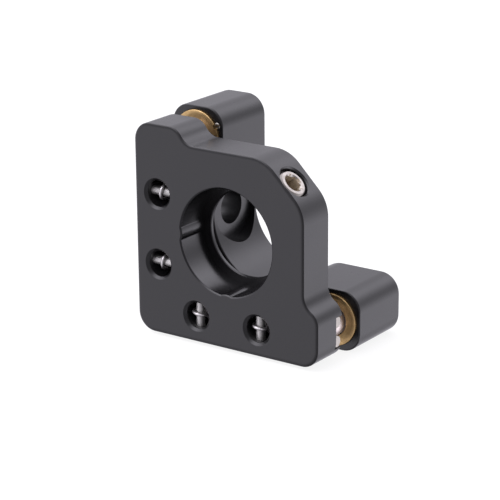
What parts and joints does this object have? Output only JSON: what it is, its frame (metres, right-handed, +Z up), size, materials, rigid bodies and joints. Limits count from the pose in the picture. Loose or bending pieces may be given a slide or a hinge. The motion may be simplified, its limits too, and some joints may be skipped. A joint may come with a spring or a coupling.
{
  "type": "kinematic mirror mount",
  "caption": "Compact kinematic mirror mount: spring-held front plate with a stepped optic pocket on an L-shaped back plate, two fine hex-socket adjusters.",
  "frame": {"origin": "centre of the optic pocket at the front plate's front face", "axes": "+Y from the front face towards the back plate, +X towards the yaw adjuster, +Z up towards the pitch adjuster"},
  "size_m": [0.0272, 0.0184, 0.0272],
  "materials": {
    "black_anodised": "black anodised, fine satin",
    "brass": "turned, slightly dulled",
    "screw_steel": "turned stainless steel",
    "ball_steel": "polished hardened steel",
    "ground_steel": "ground",
    "spring_wire": "drawn wire",
    "nylon": "natural nylon"
  },
  "bodies": {
    "back": {"back_plate": "black_anodised", "yaw_bushing": "brass", "pitch_bushing": "brass", "back_pivot_seat": "ground_steel", "pitch_bushing_key": "ground_steel", "yaw_bushing_key": "ground_steel", "back_pin_left_upper": "ground_steel", "back_pin_left_lower": "ground_steel", "back_pin_bottom_left": "ground_steel", "back_pin_bottom_right": "ground_steel", "spring_left_upper": "spring_wire", "spring_left_lower": "spring_wire", "spring_bottom_left": "spring_wire", "spring_bottom_right": "spring_wire"},
    "yaw_tip": {"yaw_ball_tip": "ball_steel"},
    "yaw_driver": {"yaw_screw": "screw_steel"},
    "pitch_tip": {"pitch_ball_tip": "ball_steel"},
    "pitch_driver": {"pitch_screw": "screw_steel"},
    "pivot": {"pivot_ball": "ball_steel"},
    "front": {"front_plate": "black_anodised", "front_pivot_seat": "ground_steel", "vee_pin_upper": "ground_steel", "vee_pin_lower": "ground_steel", "flat_pad": "ground_steel", "front_pin_left_upper": "ground_steel", "front_pin_left_lower": "ground_steel", "front_pin_bottom_left": "ground_steel", "front_pin_bottom_right": "ground_steel"},
    "clamp_tip": {"retaining_tip": "nylon"},
    "clamp_driver": {"retaining_screw": "screw_steel"}
  },
  "joints": [
    {"name": "yaw_screw_turn", "type": "hinge", "parent": "yaw_tip", "child": "yaw_driver", "pos_m": [0.00987, 0.012, -0.00987], "axis": [0, -1, 0], "range_deg": [-1441, 1441]},
    {"name": "yaw_screw_advance", "type": "slide", "parent": "back", "child": "yaw_tip", "axis": [0, -1, 0], "range_m": [-0.001, 0.001]},
    {"name": "yaw_tilt", "type": "hinge", "parent": "back", "child": "pivot", "pos_m": [-0.00987, 0.00706, -0.00987], "axis": [0, 0, -1], "range_deg": [-2.92, 2.92], "deforming": ["spring_bottom_left", "spring_bottom_right"]},
    {"name": "pitch_screw_turn", "type": "hinge", "parent": "pitch_tip", "child": "pitch_driver", "pos_m": [-0.00987, 0.012, 0.00987], "axis": [0, -1, 0], "range_deg": [-1441, 1441]},
    {"name": "pitch_screw_advance", "type": "slide", "parent": "back", "child": "pitch_tip", "axis": [0, -1, 0], "range_m": [-0.001, 0.001]},
    {"name": "pitch_tilt", "type": "hinge", "parent": "pivot", "child": "front", "pos_m": [-0.00987, 0.00706, -0.00987], "axis": [1, 0, 0], "range_deg": [-2.92, 2.92], "deforming": ["spring_left_upper", "spring_left_lower"]},
    {"name": "retaining_screw_turn", "type": "hinge", "parent": "clamp_tip", "child": "clamp_driver", "pos_m": [0.00636, 0.00225, 0.00636], "axis": [-0.7071, 0, -0.7071], "range_deg": [-361, 721]},
    {"name": "retaining_screw_advance", "type": "slide", "parent": "front", "child": "clamp_tip", "axis": [-0.7071, 0, -0.7071], "range_m": [-0.0007, 0.0014]}
  ],
  "couplings": [
    {"joint": "yaw_screw_turn", "follows": "yaw_screw_advance", "rad_per_m": 25133},
    {"joint": "yaw_tilt", "follows": "yaw_screw_advance", "rad_per_m": 50.659},
    {"joint": "pitch_screw_turn", "follows": "pitch_screw_advance", "rad_per_m": 25133},
    {"joint": "pitch_tilt", "follows": "pitch_screw_advance", "rad_per_m": 50.659},
    {"joint": "retaining_screw_turn", "follows": "retaining_screw_advance", "rad_per_m": 8976}
  ]
}
